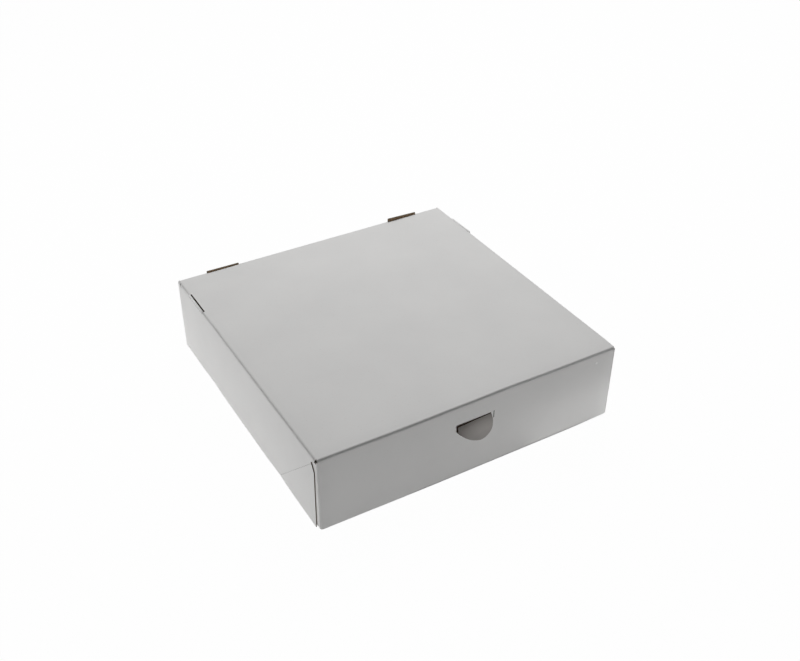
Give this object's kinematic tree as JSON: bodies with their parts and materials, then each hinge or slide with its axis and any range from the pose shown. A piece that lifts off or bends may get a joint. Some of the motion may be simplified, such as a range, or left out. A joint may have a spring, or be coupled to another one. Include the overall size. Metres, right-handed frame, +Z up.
{
  "type": "pizza box",
  "caption": "Square folded pizza box of white-lined corrugated board, with a hinged lid that hangs outside the tray, a pressed thumb tab in front and small vent tabs near the rear corners.",
  "frame": {"origin": "centre of the closed box's outline, on the surface that it stands on", "axes": "+Z up through the lid, front with the thumb tab towards -Y, +X to the right seen from the front"},
  "size_m": [0.2, 0.2, 0.0542],
  "materials": {
    "tray_board": "matte",
    "lid_board": "matte"
  },
  "bodies": {
    "tray": {"tray": "tray_board"},
    "lid": {"lid": "lid_board"}
  },
  "joints": [
    {"name": "lid_hinge", "type": "hinge", "parent": "tray", "child": "lid", "pos_m": [0, 0.1, 0.052], "axis": [-1, 0, 0], "range_deg": [0, 180]}
  ]
}
